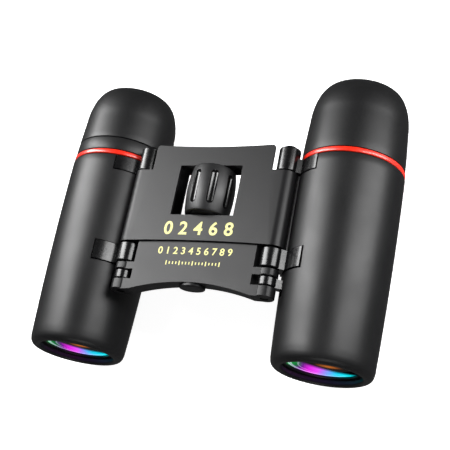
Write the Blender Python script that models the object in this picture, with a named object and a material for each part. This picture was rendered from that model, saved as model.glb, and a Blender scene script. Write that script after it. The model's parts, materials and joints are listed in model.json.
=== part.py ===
"""Folding pocket binoculars: two rubber-armoured barrels on a double-hinged bridge with a centre
focus wheel. +X is the user's right, +Y the way the user looks and +Z up. The origin is on the
surface the barrels rest on, midway between the hinge rods and midway along the barrels."""

import math

import bmesh
import bpy
from mathutils import Matrix, Vector

MM = 0.001

# Driving dimensions, in millimetres and degrees.
LENGTH = 85.0  # eyecup rim to objective rim
ROD_X = 22.2  # hinge rod from the middle plane
ARM = 18.7  # hinge rod to barrel axis
FOLD = 32.5  # how far each barrel hangs below flat at rest
ARMOUR_RADIUS = 15.1  # the barrel at its widest
ARMOUR_WIDEST_Y = -8.0
ARMOUR_CURVE = 0.00044  # loss of radius per square millimetre from the widest place
TUBE_RADIUS = 12.25
TUBE_BORE = 11.55
NECK_RADIUS = 9.0  # the tube's rear neck, inside the eyecup
NECK_BORE = 8.2
LENS_RADIUS = 10.3  # objective lens
CELL_RADIUS = 11.4  # objective cell, sliding in the tube
NOSE_RADIUS = 10.8  # its front end, sliding in the armour's mouth
MOUTH_RADIUS = 11.0
RIM_ROUND = 2.0  # the armour's front edge
TUBE_FRONT_Y = 39.5
EYE_LENS_RADIUS = 6.8
RING_Y = -17.35  # middle of the red ring
RING_WIDTH = 1.5
COLLAR_END_Y = -22.4  # where the turning eyecup meets its collar
EYECUP_RADIUS = 14.85  # at the red ring
EYECUP_BORE = 9.3
CLEARANCE = 0.15  # between pieces that meet
SLACK = 0.3  # round pieces that move past each other
ROUND = 32  # sides of the barrels
INNER_ROUND = 24  # sides of the pieces inside them
SMALL_ROUND = 16  # sides of small round pieces

# The bridge.
SLEEVE_RADIUS = 3.2  # hinge sleeve of the top cover
KNUCKLE_RADIUS = 2.8  # hinge knuckle of the focus plate
ROD_RADIUS = 1.1
ROD_HOLE = 1.2
COVER_X = 18.8  # half width of the covers between the hinge notches
COVER_TOP = 3.2
COVER_SHEET = 0.7
COVER_BACK_BOW = 1.0
COVER_FRONT_BOW = 0.5
SEAM = 0.4  # the sheet ends this far short of the rod, inside the hinge sleeve
LEDGE = 0.05  # the sheet's ends stand back this far from the sleeve's
COVER_BACK_Y = -19.6
COVER_FRONT_Y = 11.1
NOTCH_Y = -11.6  # where the hinge sleeve starts
WINDOW_X = 9.8
WINDOW_Y = (-12.9, 2.8)
WHEEL_RADIUS = 7.0
SPINDLE_RADIUS = 1.5
SPINDLE_Y = (-17.0, 16.5)
GROOVES = 8  # finger grooves round the wheel
PLATE_TOP = 2.35
PLATE_X = 18.4
PLATE_Y = (6.4, 25.7)
FIRST_KNUCKLE_Y = (17.5, 19.6)
LAST_KNUCKLE_Y = (22.6, 25.7)
PLATE_BOW = 2.9  # how far its front edge bows in
RIB_Y = ((-15.2, -13.2), (3.1, 4.9))  # bearings of the focus spindle
PLATE_TRAVEL = 1.6  # from far focus to near

# The lugs of each barrel, as their places along the rod.
BACK_LUG_Y = (-19.2, -11.9)
BACK_LUG_FOOT_Y = (-16.2, -11.9)
FRONT_LUG_Y = (11.5, 17.2)
LUG_RADIUS = 3.1
LUG_FOOT_RADIUS = 15.3
LUG_LOW, LUG_HIGH = -14, 34  # the foot's ends round the barrel, from the rod's direction
LUG_WEB = 2.3  # half thickness of the web between foot and rod
SEAL = 1.3  # half width of the rubber rib that closes the gap beside the hinge sleeve
ARM_KNUCKLE_Y = (19.8, 22.4)
ARM_KNUCKLE_RADIUS = 2.6
ARM_WEB = 1.3

REST_HEIGHT = ARM * math.sin(math.radians(FOLD)) + ARMOUR_RADIUS
SIDES = {"left": -1, "right": 1}

PALETTE = {
    # name: (sRGB colour, roughness, metallic)
    "rubber": ("#1b1b1c", 0.62, 0.0),
    "plate_paint": ("#262627", 0.42, 0.0),
    "lug_plastic": ("#121213", 0.3, 0.0),
    "red_trim": ("#e8250d", 0.4, 0.0),
    "black_metal": ("#151516", 0.4, 0.8),
    "steel": ("#8e9093", 0.3, 1.0),
    "coated_glass": ("#a23bd0", 0.05, 0.0),
    "clear_glass": ("#dfe8e4", 0.03, 0.0),
}


def clear_scene():
    for thing in list(bpy.data.objects):
        bpy.data.objects.remove(thing)


def linear(channel):
    return channel / 12.92 if channel <= 0.04045 else ((channel + 0.055) / 1.055) ** 2.4


def make_materials():
    made = {}
    for name, (colour, roughness, metallic) in PALETTE.items():
        material = bpy.data.materials.new(name)
        material.use_nodes = True
        shader = material.node_tree.nodes["Principled BSDF"]
        channels = [linear(int(colour[i : i + 2], 16) / 255) for i in (1, 3, 5)]
        shader.inputs["Base Color"].default_value = (*channels, 1.0)
        shader.inputs["Roughness"].default_value = roughness
        shader.inputs["Metallic"].default_value = metallic
        made[name] = material
    return made


def place(name, mesh, material, parent=None, at=(0, 0, 0), smooth=True):
    """An object from a bmesh in millimetres, at a place in millimetres under its parent."""
    bmesh.ops.recalc_face_normals(mesh, faces=mesh.faces)
    data = bpy.data.meshes.new(name)
    mesh.to_mesh(data)
    mesh.free()
    data.transform(Matrix.Scale(MM, 4))
    data.materials.append(MATERIALS[material])
    if smooth:
        data.shade_smooth()
        data.set_sharp_from_angle(angle=math.radians(35))
    thing = bpy.data.objects.new(name, data)
    bpy.context.scene.collection.objects.link(thing)
    thing.parent = parent
    thing.location = Vector(at) * MM
    return thing


def helper(thing):
    thing.hide_render = True
    thing.display_type = "WIRE"
    return thing


def cut(thing, other, operation="DIFFERENCE"):
    modifier = thing.modifiers.new(operation.lower(), "BOOLEAN")
    modifier.operation = operation
    modifier.object = helper(other)


def join(thing, other):
    cut(thing, other, "UNION")


def turned(outline, sides=ROUND, centre=(0, 0)):
    """Turns a closed outline of (y, radius) points about the Y line through centre (x, z)."""
    mesh = bmesh.new()
    points = [mesh.verts.new((radius, y, 0)) for y, radius in outline]
    edges = [mesh.edges.new((a, b)) for a, b in zip(points, points[1:] + points[:1])]
    bmesh.ops.spin(
        mesh,
        geom=points + edges,
        cent=(0, 0, 0),
        axis=(0, 1, 0),
        angle=2 * math.pi,
        steps=sides,
        use_merge=True,
    )
    bmesh.ops.remove_doubles(mesh, verts=mesh.verts, dist=1e-4)
    bmesh.ops.translate(mesh, vec=(centre[0], 0, centre[1]), verts=mesh.verts)
    return mesh


def tube(y_span, outer, inner):
    back, front = y_span
    return [(back, inner), (back, outer), (front, outer), (front, inner)]


def rod(y_span, radius):
    back, front = y_span
    return [(back, 0), (back, radius), (front, radius), (front, 0)]


def extruded(outline, low, high, axis="Z"):
    """A closed outline pushed from low to high: (x, y) points along Z, or (x, z) along Y."""
    mesh = bmesh.new()
    if axis == "Z":
        points = [mesh.verts.new((x, y, low)) for x, y in outline]
        step = Vector((0, 0, high - low))
    elif axis == "Y":
        points = [mesh.verts.new((x, low, z)) for x, z in outline]
        step = Vector((0, high - low, 0))
    else:
        points = [mesh.verts.new((low, y, z)) for y, z in outline]
        step = Vector((high - low, 0, 0))
    face = mesh.faces.new(points)
    raised = bmesh.ops.extrude_face_region(mesh, geom=[face])["geom"]
    moved = [item for item in raised if isinstance(item, bmesh.types.BMVert)]
    bmesh.ops.translate(mesh, vec=step, verts=moved)
    return mesh


def add_mesh(mesh, other):
    """Adds another bmesh's shape to this one, so that one cutter makes several holes."""
    data = bpy.data.meshes.new("added")
    other.to_mesh(data)
    other.free()
    mesh.from_mesh(data)
    bpy.data.meshes.remove(data)


def block(x_span, y_span, z_span):
    (x0, x1), (y0, y1) = x_span, y_span
    return extruded([(x0, y0), (x1, y0), (x1, y1), (x0, y1)], *z_span)


def hull(points):
    mesh = bmesh.new()
    corners = [mesh.verts.new(point) for point in points]
    bmesh.ops.convex_hull(mesh, input=corners)
    return mesh


def arc(centre, radii, start, end, steps):
    """Points of an ellipse's arc from start to end degrees."""
    points = []
    for i in range(steps + 1):
        angle = math.radians(start + (end - start) * i / steps)
        points.append((centre[0] + radii[0] * math.cos(angle), centre[1] + radii[1] * math.sin(angle)))
    return points


def bowed_edge(start, end, depth, steps):
    """Points from start to end along X, bowed by depth along Y in the middle."""
    points = []
    for i in range(steps + 1):
        share = i / steps
        x = start[0] + (end[0] - start[0]) * share
        y = start[1] + (end[1] - start[1]) * share
        points.append((x, y + depth * (1 - (2 * share - 1) ** 2)))
    return points


def barrel_radius(y):
    return ARMOUR_RADIUS - ARMOUR_CURVE * (y - ARMOUR_WIDEST_Y) ** 2


def hinge_empty(side, sign):
    empty = bpy.data.objects.new(side + "_hinge", None)
    bpy.context.scene.collection.objects.link(empty)
    empty.location = Vector((sign * ROD_X, 0, REST_HEIGHT)) * MM
    empty.rotation_euler = (0, sign * math.radians(FOLD), 0)
    return empty


def lug_foot(y_span, sign, grow=0.0):
    """The foot of a lug, part of a ring round the barrel's axis; grow gives the hole for it."""
    middle = 180 if sign > 0 else 0
    wider = math.degrees(grow / ARMOUR_RADIUS)
    span = [middle - sign * (LUG_LOW - wider), middle - sign * (LUG_HIGH + wider)]
    outer = arc((0, 0), (LUG_FOOT_RADIUS + grow,) * 2, *span, 5)
    inner = arc((0, 0), (TUBE_RADIUS - 0.4,) * 2, *reversed(span), 5)
    return extruded(outer + inner, y_span[0] - grow, y_span[1] + grow, "Y")


def add_lug(tube_body, name, y_span, foot_span, sign, parent, at):
    foot = lug_foot(foot_span, sign)
    join(tube_body, place(name + "_foot", foot, "lug_plastic", parent, at))
    reach = sorted((-sign * (ARM - ROD_HOLE), -sign * (TUBE_RADIUS + 0.5)))
    web = block(reach, (foot_span[0] + LEDGE, foot_span[1] - LEDGE), (-LUG_WEB, LUG_WEB))
    join(tube_body, place(name + "_web", web, "lug_plastic", parent, at))
    knuckle = turned(rod(y_span, LUG_RADIUS), SMALL_ROUND, (-sign * ARM, 0))
    join(tube_body, place(name + "_knuckle", knuckle, "lug_plastic", parent, at))


def make_barrel_tube(side, sign, parent, at):
    step, rear = RING_Y - 0.9, -36.2
    wall = 1.2
    outline = [
        (TUBE_FRONT_Y, TUBE_BORE),
        (TUBE_FRONT_Y, TUBE_RADIUS),
        (step, TUBE_RADIUS),
        (step, NECK_RADIUS),
        (rear, NECK_RADIUS),
        (rear, NECK_BORE),
        (step + wall, NECK_BORE),
        (step + wall, TUBE_BORE),
    ]
    body = place(side + "_barrel_tube", turned(outline, INNER_ROUND), "black_metal", parent, at)
    cut(body, place(side + "_tube_slot", arm_slot(sign), "steel", parent, at))
    add_lug(body, side + "_back_lug", BACK_LUG_Y, BACK_LUG_FOOT_Y, sign, parent, at)
    add_lug(body, side + "_front_lug", FRONT_LUG_Y, FRONT_LUG_Y, sign, parent, at)
    span = (BACK_LUG_Y[0] - 1, FRONT_LUG_Y[1] + 1)
    hole = turned(rod(span, ROD_HOLE), SMALL_ROUND, (-sign * ARM, 0))
    cut(body, place(side + "_lug_hole", hole, "steel", parent, at))


def arm_slot(sign):
    """The hole through tube and armour that the focus arm slides in."""
    reach = sorted((-sign * (TUBE_BORE - 2.5), -sign * (ARM - 1.7)))
    y_span = (ARM_KNUCKLE_Y[0] - SLACK, ARM_KNUCKLE_Y[1] + PLATE_TRAVEL + SLACK)
    half = ARM_WEB + SLACK + 0.1
    return block(reach, y_span, (-half, half))


def make_armour(side, sign, parent, at):
    rear = RING_Y + RING_WIDTH / 2 + CLEARANCE
    rim_y, lip_round = LENGTH / 2, 0.7
    inner = TUBE_RADIUS + CLEARANCE
    shoulder_y = TUBE_FRONT_Y + CLEARANCE
    bulge_end = rim_y - RIM_ROUND - SLACK
    bulge = [(y, barrel_radius(y)) for y in [rear + (bulge_end - rear) * i / 5 for i in range(6)]]
    rim_centre = (rim_y - RIM_ROUND, barrel_radius(rim_y) - RIM_ROUND)
    rim = arc(rim_centre, (RIM_ROUND, RIM_ROUND), 75, 0, 3)
    lip = arc((rim_y - lip_round, MOUTH_RADIUS + lip_round), (lip_round, lip_round), 0, -90, 2)
    inside = [(shoulder_y, MOUTH_RADIUS), (shoulder_y, inner)]
    outline = [(rear, inner)] + bulge + rim + lip + inside
    armour = place(side + "_armour", turned(outline), "rubber", parent, at)
    reach = sorted((-sign * (ARMOUR_RADIUS - 1.6), -sign * (ARM - SLEEVE_RADIUS - CLEARANCE)))
    seal = block(reach, (NOTCH_Y + 0.2, COVER_FRONT_Y - 0.1), (-SEAL, SEAL))
    join(armour, place(side + "_hinge_seal", seal, "rubber", parent, at))
    back_span = (BACK_LUG_FOOT_Y[0] - 0.5, BACK_LUG_FOOT_Y[1])
    for name, span in (("back", back_span), ("front", FRONT_LUG_Y)):
        opening = lug_foot(span, sign, grow=SLACK)
        cut(armour, place(side + "_" + name + "_opening", opening, "rubber", parent, at))
    cut(armour, place(side + "_armour_slot", arm_slot(sign), "rubber", parent, at))


def make_red_ring(side, parent, at):
    span = (RING_Y - RING_WIDTH / 2, RING_Y + RING_WIDTH / 2)
    ring = tube(span, EYECUP_RADIUS + 0.1, TUBE_RADIUS + 0.25)
    place(side + "_red_ring", turned(ring), "red_trim", parent, at)


def eyecup_outline(start):
    """From the seam at start back to the rolled rim, and in again through the eye opening."""
    rim_y, rim_radius, lip_round = -LENGTH / 2, 9.2, 1.2
    shoulder_y, shoulder_radius = -31.0, 14.3
    seat_y, eye_radius = -36.5, 7.6
    taper = (EYECUP_RADIUS - shoulder_radius) / ((RING_Y - shoulder_y) ** 1.5)
    side = []
    for i in range(2):
        y = start + (shoulder_y - start) * i / 2
        side.append((y, EYECUP_RADIUS - taper * (RING_Y - y) ** 1.5))
    reach = (shoulder_y - rim_y, shoulder_radius - rim_radius)
    shoulder = arc((shoulder_y, rim_radius), reach, 90, 180, 6)
    lip = arc((rim_y + lip_round, rim_radius - 0.4), (lip_round, lip_round), 190, 270, 2)
    eye_end = (rim_y + 3.9, eye_radius)
    inside = [eye_end, (seat_y, eye_radius), (seat_y, EYECUP_BORE), (start, EYECUP_BORE)]
    return side + shoulder + lip + inside


def make_eyecup(side, parent, at):
    turns = side == "right"
    start = COLLAR_END_Y - CLEARANCE if turns else RING_Y - RING_WIDTH / 2 - CLEARANCE
    place(side + "_eyecup", turned(eyecup_outline(start)), "rubber", parent, at)


def make_collar(parent, at):
    back, front = COLLAR_END_Y, RING_Y - RING_WIDTH / 2 - CLEARANCE
    outline = [
        (back, EYECUP_BORE),
        (back, EYECUP_RADIUS - 0.13),
        (front, EYECUP_RADIUS),
        (front, EYECUP_BORE),
    ]
    place("right_diopter_collar", turned(outline), "rubber", parent, at)


def lens(back, front, radius, back_bow, front_bow, sides):
    """A lens from back to front at its rim, with each face bowed out."""
    rim = [(back, radius), (front, radius)]
    face = [(front + front_bow * (1 - share**2), radius * share) for share in (0.66, 0.33, 0)]
    rear = [(back - back_bow * (1 - share**2), radius * share) for share in (0, 0.5)]
    return turned(rim + face + rear, sides)


def make_objective(side, sign, parent, at):
    rear_y, step_y, nose_y = 18.6, 37.9, 40.8
    seat_y, bore = 36.5, 9.6
    pocket = LENS_RADIUS + CLEARANCE
    outline = [
        (rear_y, bore),
        (rear_y, CELL_RADIUS),
        (step_y, CELL_RADIUS),
        (step_y, NOSE_RADIUS),
        (nose_y, NOSE_RADIUS),
        (nose_y, pocket),
        (seat_y, pocket),
        (seat_y, bore),
    ]
    cell = place(side + "_objective_cell", turned(outline, INNER_ROUND), "black_metal", parent, at)
    cut(cell, place(side + "_arm_seat", arm_seat(sign), "steel", parent, at))
    back, front, back_bow, front_bow = 37.2, 40.0, 0.3, 0.7
    glass = lens(back, front, LENS_RADIUS, back_bow, front_bow, INNER_ROUND)
    place(side + "_objective_lens", glass, "coated_glass", parent, at)
    ring = tube((front + CLEARANCE, nose_y - 0.1), LENS_RADIUS + 0.05, LENS_RADIUS - 0.35)
    ring_mesh = turned(ring, INNER_ROUND)
    place(side + "_objective_retainer", ring_mesh, "black_metal", parent, at)
    make_focus_arm(side, sign, parent, at)


def make_focus_arm(side, sign, parent, at):
    """The knuckle on the hinge rod that pushes the objective cell, and its web into the cell."""
    knuckle = tube(ARM_KNUCKLE_Y, ARM_KNUCKLE_RADIUS, ROD_HOLE)
    mesh = turned(knuckle, SMALL_ROUND, (-sign * ARM, 0))
    arm = place(side + "_focus_arm", mesh, "lug_plastic", parent, at)
    reach = sorted((-sign * (CELL_RADIUS - 1.0), -sign * (ARM - ROD_HOLE - 0.4)))
    web = block(reach, ARM_KNUCKLE_Y, (-ARM_WEB, ARM_WEB))
    join(arm, place(side + "_arm_web", web, "lug_plastic", parent, at))


def arm_seat(sign):
    reach = sorted((-sign * 8.0, -sign * 13.0))
    y_span = (ARM_KNUCKLE_Y[0] - CLEARANCE, ARM_KNUCKLE_Y[1] + CLEARANCE)
    half = ARM_WEB + CLEARANCE
    return block(reach, y_span, (-half, half))


def make_prisms(side, parent, at):
    """A roof prism behind a half-penta prism, in a cage that slides into the tube."""
    cage_outline = rod((-13.5, 9.5), TUBE_BORE - 0.2)
    cage = place(side + "_prism_cage", turned(cage_outline, INNER_ROUND), "black_metal", parent, at)
    pocket = block((-7.6, 7.6), (-10.2, 7.6), (-7.0, 20.0))
    cut(cage, place(side + "_cage_pocket", pocket, "steel", parent, at))
    light_way = turned(rod((-15.0, 11.0), 6.0), SMALL_ROUND)
    cut(cage, place(side + "_cage_bore", light_way, "steel", parent, at))
    # The two prisms meet at a leaning face, with an air gap between them.
    wide, high, gap, lean, middle = 7.2, 6.5, 0.3, 2.7, -0.8
    front_y, back_y = 7.3, -9.9
    penta = [
        (front_y, -high),
        (front_y, high),
        (middle + lean + gap, high),
        (middle - lean + gap, -high),
    ]
    half_penta = extruded(penta, -wide, wide, "X")
    place(side + "_half_penta_prism", half_penta, "clear_glass", parent, at, smooth=False)
    roof = [(0, middle + lean - 0.4, high + 3.2), (0, -6.0, high + 1.0)]
    for x in (-wide, wide):
        roof += [(x, middle + lean, high), (x, middle - lean, -high)]
        roof += [(x, back_y, -high), (x, back_y, 2.0)]
    place(side + "_roof_prism", hull(roof), "clear_glass", parent, at, smooth=False)


def make_eyepiece(side, parent, at):
    back, step, front = -38.0, -35.4, -19.4
    lip, narrow, wide, bore = 6.4, 7.4, 8.0, EYE_LENS_RADIUS + 0.2
    outline = [
        (back, lip),
        (back, narrow),
        (step, narrow),
        (step, wide),
        (front, wide),
        (front, bore),
        (back + 1.1, bore),
        (back + 1.1, lip),
    ]
    place(side + "_eyepiece_cell", turned(outline, SMALL_ROUND), "black_metal", parent, at)
    field = lens(-24.2, -21.4, EYE_LENS_RADIUS, 0.9, 0.2, SMALL_ROUND)
    place(side + "_field_lens", field, "clear_glass", parent, at)
    eye = lens(-35.6, -32.6, EYE_LENS_RADIUS, 0.6, 1.1, SMALL_ROUND)
    place(side + "_eye_lens", eye, "clear_glass", parent, at)


def make_barrel(side, sign):
    parent = hinge_empty(side, sign)
    at = (sign * ARM, 0, 0)
    make_barrel_tube(side, sign, parent, at)
    make_armour(side, sign, parent, at)
    make_red_ring(side, parent, at)
    make_eyecup(side, parent, at)
    if side == "right":
        make_collar(parent, at)
    make_objective(side, sign, parent, at)
    make_prisms(side, parent, at)
    make_eyepiece(side, parent, at)


def cover_outline():
    """The waisted plate between the hinge sleeves: both its ends bow towards the middle."""
    side, notch, end = ROD_X - SEAM, NOTCH_Y + LEDGE, COVER_FRONT_Y - LEDGE
    back = bowed_edge((-COVER_X, COVER_BACK_Y), (COVER_X, COVER_BACK_Y), COVER_BACK_BOW, 8)
    front = bowed_edge((side, end), (-side, end), -COVER_FRONT_BOW, 6)
    return back + [(COVER_X, notch), (side, notch)] + front + [(-side, notch), (-COVER_X, notch)]


def window_block():
    return block((-WINDOW_X, WINDOW_X), WINDOW_Y, (-2 * COVER_TOP, 2 * COVER_TOP))


SCREW_RADIUS = 0.75
SCREW_PLACES = [(x, y) for x in (-12.6, 12.6) for y in (-15.6, 3.8)]
POST_FOOT = -COVER_TOP + COVER_SHEET + 0.2  # posts and ribs end just above the bottom cover


def add_bearing_rib(top, name, y_span, parent):
    """A rib under the top cover, with a slot from below that the focus spindle turns in."""
    rib = block((-5.0, 5.0), y_span, (POST_FOOT, COVER_TOP - COVER_SHEET + 0.2))
    join(top, place("bearing_rib_" + name, rib, "plate_paint", parent))
    radius, under = SPINDLE_RADIUS + CLEARANCE, -COVER_TOP - 0.8
    outline = [(-radius, under)] + arc((0, 0), (radius, radius), 180, 0, 6) + [(radius, under)]
    slot = extruded(outline, y_span[0] - 0.5, y_span[1] + 0.5, "Y")
    cut(top, place("bearing_slot_" + name, slot, "steel", parent))


def make_top_cover(parent):
    cover = extruded(cover_outline(), COVER_TOP - COVER_SHEET, COVER_TOP)
    top = place("bridge_top_cover", cover, "plate_paint", parent)
    for name, y_span in zip(("back", "front"), RIB_Y):
        add_bearing_rib(top, name, y_span, parent)
    for i, (x, y) in enumerate(SCREW_PLACES):
        post = post_solid(x, y, 1.9, POST_FOOT, COVER_TOP - COVER_SHEET + 0.2)
        join(top, place(f"screw_post_{i}", post, "plate_paint", parent))
        pilot = post_solid(x, y, SCREW_RADIUS + 0.1, 2 * POST_FOOT, 1.2)
        cut(top, place(f"screw_pilot_{i}", pilot, "steel", parent))
    for side, sign in SIDES.items():
        sleeve = turned(rod((NOTCH_Y, COVER_FRONT_Y), SLEEVE_RADIUS), INNER_ROUND, (sign * ROD_X, 0))
        join(top, place(side + "_sleeve", sleeve, "plate_paint", parent))
        hole = turned(rod((NOTCH_Y - 1, COVER_FRONT_Y + 1), ROD_HOLE), SMALL_ROUND, (sign * ROD_X, 0))
        cut(top, place(side + "_sleeve_hole", hole, "steel", parent))
    cut(top, place("top_window", window_block(), "steel", parent))


def post_solid(x, y, radius, low, high):
    return extruded(arc((x, y), (radius, radius), 0, 330, 11), low, high)


def make_bottom_cover(parent):
    side, narrow = ROD_X - SLEEVE_RADIUS - SLACK, COVER_X - 3.0
    back = bowed_edge((-narrow, COVER_BACK_Y), (narrow, COVER_BACK_Y), COVER_BACK_BOW, 8)
    front = bowed_edge((side, COVER_FRONT_Y), (-side, COVER_FRONT_Y), -COVER_FRONT_BOW, 6)
    outline = back + [(narrow, NOTCH_Y), (side, NOTCH_Y)] + front
    outline += [(-side, NOTCH_Y), (-narrow, NOTCH_Y)]
    sheet = extruded(outline, -COVER_TOP, -COVER_TOP + COVER_SHEET)
    bottom = place("bridge_bottom_cover", sheet, "plate_paint", parent)
    cut(bottom, place("bottom_window", window_block(), "steel", parent))
    under, inside = -COVER_TOP, -COVER_TOP + COVER_SHEET
    head_z, head_top, head_radius = under - 0.1, under + 0.15, 1.55
    for i, (x, y) in enumerate(SCREW_PLACES):
        hole = post_solid(x, y, SCREW_RADIUS + 0.25, under - 1, inside + 1)
        cut(bottom, place(f"screw_hole_{i}", hole, "steel", parent))
        seat = turned_up(tube((under - 1, head_top + 0.1), head_radius + 0.2, 0.9), x, y)
        cut(bottom, place(f"screw_seat_{i}", seat, "steel", parent))
        shape = [
            (head_z, 0),
            (head_z, head_radius),
            (head_top, head_radius),
            (head_top, SCREW_RADIUS),
            (0.6, SCREW_RADIUS),
            (0.6, 0),
        ]
        place(f"cover_screw_{i + 1}", turned_up(shape, x, y), "steel", parent)


def turned_up(outline, x, y, sides=12):
    """Turns an outline of (z, radius) points about the upright line through (x, y)."""
    mesh = turned(outline, sides)
    bmesh.ops.transform(mesh, matrix=Matrix.Rotation(math.pi / 2, 4, "X"), verts=mesh.verts)
    bmesh.ops.translate(mesh, vec=(x, y, 0), verts=mesh.verts)
    return mesh


def focus_plate_outline():
    """Half the plate's outline from the middle of its back edge, and the same mirrored."""
    back, front = PLATE_Y
    kink_x = PLATE_X + 0.8
    side = ROD_X - SEAM
    half = [(PLATE_X, back)]
    for low, high in (FIRST_KNUCKLE_Y, LAST_KNUCKLE_Y):
        half += [(PLATE_X, low + LEDGE), (side, low + LEDGE), (side, high - LEDGE)]
        if high < front:
            half.append((PLATE_X, high - LEDGE))
    half.append((kink_x, front - LEDGE))
    arc_x, arc_y = kink_x - 0.3, front - 0.15
    arc_points = bowed_edge((arc_x, arc_y), (-arc_x, arc_y), -PLATE_BOW, 12)
    return half + arc_points + [(-x, y) for x, y in reversed(half)]


def make_focus_plate(parent):
    back, front = PLATE_Y
    sheet = extruded(focus_plate_outline(), -PLATE_TOP, PLATE_TOP)
    plate = place("focus_plate", sheet, "plate_paint", parent)
    for side, sign in SIDES.items():
        for name, span in (("first", FIRST_KNUCKLE_Y), ("last", LAST_KNUCKLE_Y)):
            knuckle = turned(rod(span, KNUCKLE_RADIUS), SMALL_ROUND, (sign * ROD_X, 0))
            join(plate, place(f"{side}_{name}_knuckle", knuckle, "plate_paint", parent))
    boss_outline = arc((0, -0.7), (3.9, PLATE_TOP + 0.45), 0, 345, 23)
    boss = extruded(boss_outline, COVER_FRONT_Y + 0.5, front - PLATE_BOW + 1.1, "Y")
    join(plate, place("spindle_boss", boss, "plate_paint", parent))
    rod_span = (FIRST_KNUCKLE_Y[0] - 1, front + 1)
    spindle_hole = rod((back - 1, SPINDLE_Y[1] + 2), SPINDLE_RADIUS + 0.1)
    drill = turned(spindle_hole, SMALL_ROUND)
    for sign in SIDES.values():
        add_mesh(drill, turned(rod(rod_span, ROD_HOLE), SMALL_ROUND, (sign * ROD_X, 0)))
    cut(plate, place("plate_drill", drill, "steel", parent))


def make_focus_wheel(parent):
    back, front = WINDOW_Y[0] + 0.4, WINDOW_Y[1] - 0.4
    middle, half = (back + front) / 2, (front - back) / 2
    end_loss, bore = 0.8, SPINDLE_RADIUS + 0.05
    skin = []
    for i in range(5):
        share = -1 + i / 2
        skin.append((middle + half * share, WHEEL_RADIUS - end_loss * share**2))
    outline = [(back, bore)] + skin + [(front, bore)]
    wheel = place("focus_wheel", turned(outline, INNER_ROUND), "rubber", parent)
    length, radius, lift, offset = 5.1, 1.25, WHEEL_RADIUS + 0.35, 18
    for i in range(GROOVES):
        groove = turned(arc((middle, 0), (length, radius), 0, 180, 6), 6)
        angle = math.radians(360 / GROOVES * i + offset)
        spot = (math.sin(angle) * lift, 0, math.cos(angle) * lift)
        bmesh.ops.translate(groove, vec=spot, verts=groove.verts)
        cut(wheel, place(f"wheel_groove_{i}", groove, "rubber", parent))


def make_focus_spindle(parent):
    """The threaded shaft of the wheel, with a collar that holds it endways behind the back rib."""
    back, front = SPINDLE_Y
    collar_end, collar_radius, tip = RIB_Y[0][0] - 0.4, 2.2, 0.6
    shaft = [
        (back, 0),
        (back, collar_radius),
        (collar_end, collar_radius),
        (collar_end, SPINDLE_RADIUS),
        (front - tip, SPINDLE_RADIUS),
        (front, SPINDLE_RADIUS - tip),
        (front, 0),
    ]
    place("focus_spindle", turned(shaft, SMALL_ROUND), "steel", parent)


def make_hinge_rods(parent):
    head_back, head_front = BACK_LUG_Y[0] - 0.9, BACK_LUG_Y[0] - 0.25
    end_y = LAST_KNUCKLE_Y[1] - 0.2
    for side, sign in SIDES.items():
        head = [(head_back, 0), (head_back, 1.7), (head_front, 2.0), (head_front, ROD_RADIUS)]
        shape = head + [(end_y, ROD_RADIUS), (end_y, 0)]
        mesh = turned(shape, SMALL_ROUND, (sign * ROD_X, 0))
        place(side + "_hinge_rod", mesh, "steel", parent)


def bridge_empty():
    empty = bpy.data.objects.new("bridge", None)
    bpy.context.scene.collection.objects.link(empty)
    empty.location = (0, 0, REST_HEIGHT * MM)
    return empty


clear_scene()
MATERIALS = make_materials()
bridge = bridge_empty()
make_top_cover(bridge)
make_bottom_cover(bridge)
make_focus_plate(bridge)
make_focus_wheel(bridge)
make_focus_spindle(bridge)
make_hinge_rods(bridge)
for side_name, side_sign in SIDES.items():
    make_barrel(side_name, side_sign)
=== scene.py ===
import json
import math
import bmesh
import bpy
from mathutils import Matrix, Vector


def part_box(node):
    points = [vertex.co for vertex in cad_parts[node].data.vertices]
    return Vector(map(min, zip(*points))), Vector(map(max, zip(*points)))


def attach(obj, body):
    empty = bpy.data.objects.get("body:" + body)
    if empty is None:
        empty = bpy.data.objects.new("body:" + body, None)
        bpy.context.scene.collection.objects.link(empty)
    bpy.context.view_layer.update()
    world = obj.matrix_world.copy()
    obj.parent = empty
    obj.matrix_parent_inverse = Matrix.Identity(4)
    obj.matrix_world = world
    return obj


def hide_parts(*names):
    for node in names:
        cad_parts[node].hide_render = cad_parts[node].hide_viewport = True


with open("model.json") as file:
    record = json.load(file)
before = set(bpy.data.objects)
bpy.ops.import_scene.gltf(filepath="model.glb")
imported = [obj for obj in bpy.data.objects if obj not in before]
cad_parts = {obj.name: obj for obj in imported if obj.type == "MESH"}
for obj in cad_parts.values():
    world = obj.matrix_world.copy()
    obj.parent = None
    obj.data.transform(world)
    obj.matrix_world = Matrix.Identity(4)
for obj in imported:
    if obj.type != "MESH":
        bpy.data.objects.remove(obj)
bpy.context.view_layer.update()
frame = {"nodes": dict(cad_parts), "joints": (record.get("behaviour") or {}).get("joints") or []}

mm = 0.001
halfTurn = math.pi
joints = {joint["name"]: joint for joint in frame["joints"]}

# ---- where things are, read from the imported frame

rodAt = {side: Vector(joints[side + "_fold"]["pos_m"]) for side in ("left", "right")}
outward = {"left": -1, "right": 1}


def axisOf(node):
    low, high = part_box(node)
    return (low + high) / 2


barrelAt = {side: axisOf(side + "_red_ring") for side in ("left", "right")}
arm = (barrelAt["right"] - rodAt["right"]).xz.length
foldAngle = math.atan2(rodAt["right"].z - barrelAt["right"].z, barrelAt["right"].x - rodAt["right"].x)
hingeZ = rodAt["left"].z


# ---- modelling helpers

def deselectAll():
    if bpy.context.mode != "OBJECT":
        bpy.ops.object.mode_set(mode="OBJECT")
    bpy.ops.object.select_all(action="DESELECT")


def makeActive(piece):
    deselectAll()
    piece.select_set(True)
    bpy.context.view_layer.objects.active = piece


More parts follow.
